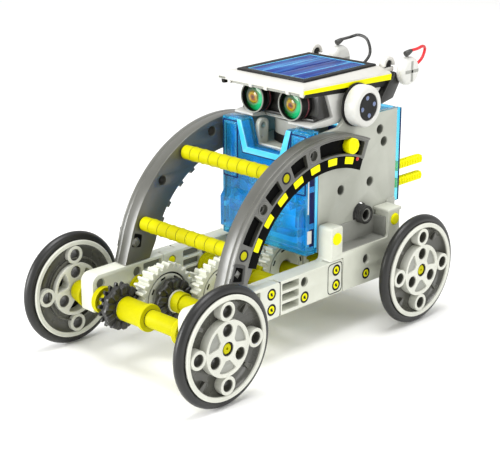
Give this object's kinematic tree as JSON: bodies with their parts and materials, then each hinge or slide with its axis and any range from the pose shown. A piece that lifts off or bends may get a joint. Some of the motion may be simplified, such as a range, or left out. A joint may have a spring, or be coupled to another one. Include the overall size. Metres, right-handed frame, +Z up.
{
  "type": "solar robot kit",
  "caption": "Four-wheeled kit robot: slotted side frames, arches, an open gear train, a clear blue gearbox and a tilting head with a solar roof.",
  "frame": {"origin": "on the floor under the middle of the bounding box", "axes": "-Y is the way the robot faces, +X is its left side, +Z is up"},
  "size_m": [0.0992, 0.1812, 0.1221],
  "materials": {
    "light_plastic": "light grey moulded plastic, satin, faint draw marks",
    "white_plastic": "bright white moulded plastic, satin",
    "yellow_plastic": "lemon yellow moulded plastic, satin",
    "dark_plastic": "dark olive-grey moulded plastic, fine grain",
    "clear_blue": "clear blue plastic, polished",
    "black_rubber": "black rubber ring, slightly dusty",
    "solar_cell": "blue cells under a glossy cover with a black border",
    "eye_lens": "green reflector with an amber middle",
    "motor_steel": "brushed steel can",
    "red_insulation": "red insulated lead, smooth",
    "black_insulation": "black insulated lead, smooth"
  },
  "bodies": {
    "chassis": {"left_front_beam": "light_plastic", "right_front_beam": "light_plastic", "left_mid_beam": "light_plastic", "right_mid_beam": "light_plastic", "left_rear_bracket": "light_plastic", "right_rear_bracket": "light_plastic", "left_arch": "dark_plastic", "right_arch": "dark_plastic", "left_arch_pin": "yellow_plastic", "right_arch_pin": "yellow_plastic", "lower_crossbar": "yellow_plastic", "upper_crossbar": "yellow_plastic", "left_side_panel": "light_plastic", "right_side_panel": "light_plastic", "front_cover": "clear_blue", "rear_cover": "clear_blue", "lower_tail_rod": "yellow_plastic", "upper_tail_rod": "yellow_plastic", "top_plate": "light_plastic", "neck": "dark_plastic", "motor": "motor_steel"},
    "front_axle_set": {"front_axle": "yellow_plastic", "front_left_hub": "white_plastic", "front_left_tyre": "black_rubber", "front_right_hub": "white_plastic", "front_right_tyre": "black_rubber", "front_crown_gear": "dark_plastic"},
    "idler_a": {"idler_a_shaft": "yellow_plastic", "idler_a_gear": "light_plastic", "idler_a_crown": "dark_plastic"},
    "idler_b": {"idler_b_gear": "light_plastic"},
    "idler_c": {"idler_c_pinion": "yellow_plastic"},
    "idler_d": {"idler_d_gear": "light_plastic"},
    "idler_e": {"idler_e_gear": "light_plastic"},
    "rear_axle_set": {"rear_axle": "yellow_plastic", "rear_left_hub": "white_plastic", "rear_left_tyre": "black_rubber", "rear_right_hub": "white_plastic", "rear_right_tyre": "black_rubber", "rear_axle_gear": "dark_plastic"},
    "output_shaft": {"output_gear": "light_plastic", "output_hub": "dark_plastic"},
    "pinion_shaft": {"motor_pinion": "white_plastic"},
    "head": {"head_housing": "white_plastic", "visor": "dark_plastic", "roof": "white_plastic", "solar_panel": "solar_cell", "rear_arm": "dark_plastic", "left_eye_barrel": "dark_plastic", "left_eye_lens": "eye_lens", "right_eye_barrel": "dark_plastic", "right_eye_lens": "eye_lens", "left_ear": "white_plastic", "right_ear": "white_plastic", "left_terminal": "white_plastic", "right_terminal": "white_plastic", "left_boot": "dark_plastic", "right_boot": "dark_plastic", "red_wire": "red_insulation", "black_wire": "black_insulation"}
  },
  "joints": [
    {"name": "rear_axle_spin", "type": "hinge", "parent": "chassis", "child": "rear_axle_set", "pos_m": [0, 0.0568, 0.025], "axis": [1, 0, 0], "continuous": true},
    {"name": "front_axle_spin", "type": "hinge", "parent": "chassis", "child": "front_axle_set", "pos_m": [0, -0.0656, 0.025], "axis": [1, 0, 0], "continuous": true},
    {"name": "idler_a_spin", "type": "hinge", "parent": "chassis", "child": "idler_a", "pos_m": [0, -0.0452, 0.025], "axis": [1, 0, 0], "continuous": true},
    {"name": "idler_b_spin", "type": "hinge", "parent": "chassis", "child": "idler_b", "pos_m": [0, -0.0248, 0.025], "axis": [1, 0, 0], "continuous": true},
    {"name": "idler_c_spin", "type": "hinge", "parent": "chassis", "child": "idler_c", "pos_m": [0, -0.0044, 0.025], "axis": [1, 0, 0], "continuous": true},
    {"name": "idler_d_spin", "type": "hinge", "parent": "chassis", "child": "idler_d", "pos_m": [0, 0.016, 0.025], "axis": [1, 0, 0], "continuous": true},
    {"name": "idler_e_spin", "type": "hinge", "parent": "chassis", "child": "idler_e", "pos_m": [0, 0.0364, 0.025], "axis": [1, 0, 0], "continuous": true},
    {"name": "output_spin", "type": "hinge", "parent": "chassis", "child": "output_shaft", "pos_m": [0, 0.0415, 0.04998], "axis": [1, 0, 0], "continuous": true},
    {"name": "motor_spin", "type": "hinge", "parent": "chassis", "child": "pinion_shaft", "pos_m": [0, 0.0415, 0.07038], "axis": [1, 0, 0], "continuous": true},
    {"name": "head_tilt", "type": "hinge", "parent": "chassis", "child": "head", "pos_m": [0, 0.0364, 0.1004], "axis": [-1, 0, 0], "range_deg": [0, 8]}
  ],
  "couplings": [
    {"joint": "idler_e_spin", "follows": "rear_axle_spin", "ratio": -0.81818},
    {"joint": "idler_d_spin", "follows": "rear_axle_spin", "ratio": 1.9091},
    {"joint": "idler_c_spin", "follows": "rear_axle_spin", "ratio": -4.4545},
    {"joint": "idler_b_spin", "follows": "rear_axle_spin", "ratio": 1.9091},
    {"joint": "idler_a_spin", "follows": "rear_axle_spin", "ratio": -0.81818},
    {"joint": "front_axle_spin", "follows": "rear_axle_spin", "ratio": 1},
    {"joint": "output_spin", "follows": "rear_axle_spin", "ratio": 1.0413},
    {"joint": "motor_spin", "follows": "rear_axle_spin", "ratio": -2.4298}
  ]
}
